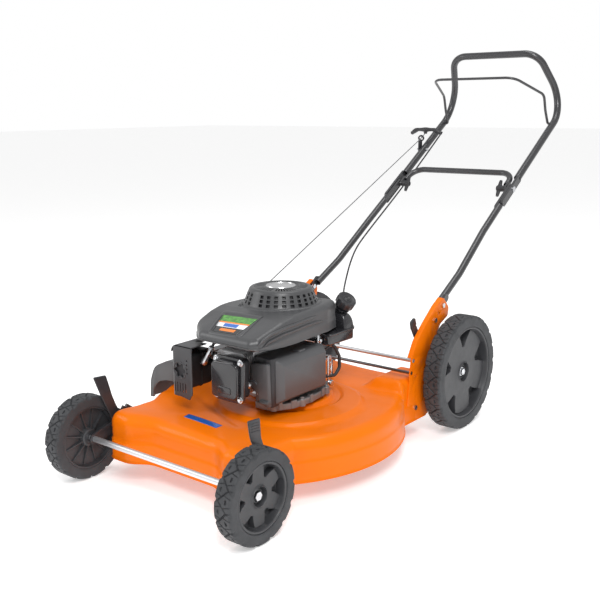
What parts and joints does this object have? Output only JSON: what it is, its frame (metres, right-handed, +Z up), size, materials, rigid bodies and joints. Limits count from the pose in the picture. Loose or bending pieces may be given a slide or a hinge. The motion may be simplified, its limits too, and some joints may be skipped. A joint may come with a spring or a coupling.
{
  "type": "petrol rotary push mower",
  "caption": "Walk-behind petrol rotary mower: glossy orange steel deck, vertical-shaft engine, side discharge, high rear wheels and a folding black tube handle with a stop bail.",
  "frame": {"origin": "on the ground, at the centre of the bounding box seen from above", "axes": "+X to the operator's left, +Y rearwards towards the handle grip, +Z up"},
  "size_m": [0.618, 1.6914, 1.027],
  "materials": {
    "deck_paint": "high-gloss orange powder coat",
    "black_tube": "satin black paint",
    "black_steel": "black coated steel",
    "zinc_steel": "bright zinc plate",
    "axle_steel": "ground steel",
    "dark_steel": "oiled steel",
    "tyre_rubber": "moulded dark grey rubber",
    "rim_plastic": "moulded black nylon",
    "shroud_plastic": "satin dark grey moulded plastic",
    "black_plastic": "matt black moulded plastic",
    "gloss_black": "glossy black plastic",
    "cast_alloy": "as-cast aluminium",
    "machined_alloy": "machined aluminium",
    "cap_disc": "brushed disc",
    "muffler_steel": "heat-proof black paint",
    "cast_iron": "machined cast iron",
    "filter_paper": "pleated paper",
    "rope_cord": "braided cord",
    "cable_sheath": "smooth black sheath",
    "boot_rubber": "metal-shielded rubber boot"
  },
  "bodies": {
    "chassis": {"air_filter_base": "shroud_plastic", "air_filter_cover": "shroud_plastic", "air_filter_element": "filter_paper", "blower_shroud": "shroud_plastic", "bracket_bolts": "zinc_steel", "carburettor": "cast_alloy", "control_bracket": "zinc_steel", "crankcase": "cast_alloy", "cylinder_head": "cast_alloy", "deck_shell": "deck_paint", "deflector_hinge_pin": "zinc_steel", "front_height_racks": "black_steel", "front_pivot_pins": "zinc_steel", "fuel_tank": "black_plastic", "left_side_bracket": "deck_paint", "lower_cross_rod": "dark_steel", "lower_handle_left": "black_tube", "lower_handle_right": "black_tube", "muffler": "muffler_steel", "muffler_guard": "muffler_steel", "recoil_cap": "cap_disc", "recoil_cover": "shroud_plastic", "right_side_bracket": "deck_paint", "spark_plug": "zinc_steel", "spark_plug_boot": "boot_rubber", "starter_rope": "rope_cord", "stop_cable": "cable_sheath", "upper_cross_rod": "zinc_steel", "valve_cover": "gloss_black", "valve_cover_bolts": "zinc_steel"},
    "front_axle_unit": {"front_axle": "axle_steel", "front_axle_nuts": "zinc_steel", "front_height_levers": "black_steel"},
    "front_left_wheel": {"front_left_tyre": "tyre_rubber", "front_left_rim": "rim_plastic"},
    "front_right_wheel": {"front_right_tyre": "tyre_rubber", "front_right_rim": "rim_plastic"},
    "rear_left_wheel": {"rear_left_tyre": "tyre_rubber", "rear_left_rim": "rim_plastic"},
    "rear_right_wheel": {"rear_right_tyre": "tyre_rubber", "rear_right_rim": "rim_plastic"},
    "rear_left_adjuster": {"rear_left_height_adjuster": "black_steel"},
    "rear_right_adjuster": {"rear_right_height_adjuster": "black_steel"},
    "handle": {"upper_handle": "black_tube", "handle_crossbar": "black_tube", "handle_bolts": "zinc_steel", "rope_guide": "black_steel"},
    "knob_left": {"left_fold_knob": "black_plastic"},
    "knob_right": {"right_fold_knob": "black_plastic"},
    "bail": {"stop_bail": "black_tube"},
    "pull_grip": {"starter_grip": "black_plastic"},
    "pulley": {"starter_pulley": "black_plastic"},
    "crank": {"crankshaft": "dark_steel", "flywheel": "cast_iron", "blade_adapter": "dark_steel", "blade": "black_steel", "blade_bolt": "dark_steel"},
    "piston_body": {"piston": "machined_alloy"},
    "tank_cap": {"fuel_cap": "black_plastic"},
    "deflector": {"discharge_deflector": "shroud_plastic"}
  },
  "joints": [
    {"name": "front_height", "type": "hinge", "parent": "chassis", "child": "front_axle_unit", "pos_m": [0.007, -0.67071, 0.118], "axis": [1, 0, 0], "range_deg": [-14, 14]},
    {"name": "rear_left_height", "type": "hinge", "parent": "chassis", "child": "rear_left_adjuster", "pos_m": [0.232, -0.00071, 0.215], "axis": [1, 0, 0], "range_deg": [-13, 13]},
    {"name": "rear_right_height", "type": "hinge", "parent": "chassis", "child": "rear_right_adjuster", "pos_m": [-0.218, -0.00071, 0.215], "axis": [1, 0, 0], "range_deg": [-13, 13]},
    {"name": "front_left_spin", "type": "hinge", "parent": "front_axle_unit", "child": "front_left_wheel", "pos_m": [0.2765, -0.74571, 0.1], "axis": [1, 0, 0], "continuous": true},
    {"name": "front_right_spin", "type": "hinge", "parent": "front_axle_unit", "child": "front_right_wheel", "pos_m": [-0.2625, -0.74571, 0.1], "axis": [1, 0, 0], "continuous": true},
    {"name": "rear_left_spin", "type": "hinge", "parent": "rear_left_adjuster", "child": "rear_left_wheel", "pos_m": [0.2737, 0.09129, 0.1545], "axis": [1, 0, 0], "continuous": true},
    {"name": "rear_right_spin", "type": "hinge", "parent": "rear_right_adjuster", "child": "rear_right_wheel", "pos_m": [-0.2597, 0.09129, 0.1545], "axis": [1, 0, 0], "continuous": true},
    {"name": "handle_fold", "type": "hinge", "parent": "chassis", "child": "handle", "pos_m": [0.007, 0.49929, 0.611], "axis": [1, 0, 0], "range_deg": [0, 145], "deforming": ["starter_rope", "stop_cable"]},
    {"name": "left_knob_turn", "type": "hinge", "parent": "handle", "child": "knob_left", "pos_m": [0.173, 0.49929, 0.611], "axis": [1, 0, 0], "continuous": true},
    {"name": "right_knob_turn", "type": "hinge", "parent": "handle", "child": "knob_right", "pos_m": [-0.159, 0.49929, 0.611], "axis": [1, 0, 0], "continuous": true},
    {"name": "bail_squeeze", "type": "hinge", "parent": "handle", "child": "bail", "pos_m": [0.007, 0.78729, 0.797], "axis": [1, 0, 0], "range_deg": [-36, 0], "stiffness_Nm_per_rad": 1, "springref_deg": 51.57},
    {"name": "starter_pull", "type": "slide", "parent": "handle", "child": "pull_grip", "axis": [-0.5486, 0.2494, 0.798], "range_m": [0, 0.45]},
    {"name": "pulley_turn", "type": "hinge", "parent": "chassis", "child": "pulley", "pos_m": [0.015, -0.34071, 0.404], "axis": [0, 0, 1], "range_deg": [0, 925]},
    {"name": "crank_turn", "type": "hinge", "parent": "chassis", "child": "crank", "pos_m": [0.015, -0.34071, 0.2], "axis": [0, 0, 1], "continuous": true},
    {"name": "piston_stroke", "type": "slide", "parent": "chassis", "child": "piston_body", "axis": [0, 1, 0], "range_m": [-0.046, 0]},
    {"name": "fuel_cap_turn", "type": "hinge", "parent": "chassis", "child": "tank_cap", "pos_m": [0.106, -0.21271, 0.371], "axis": [0.6005, -0.1201, 0.7906], "range_deg": [0, 120]},
    {"name": "deflector_lift", "type": "hinge", "parent": "chassis", "child": "deflector", "pos_m": [-0.215, -0.37371, 0.186], "axis": [0, 1, 0], "range_deg": [0, 62], "stiffness_Nm_per_rad": 0.6, "springref_deg": -40.11}
  ],
  "couplings": [
    {"joint": "pulley_turn", "follows": "starter_pull", "rad_per_m": 35.714}
  ]
}
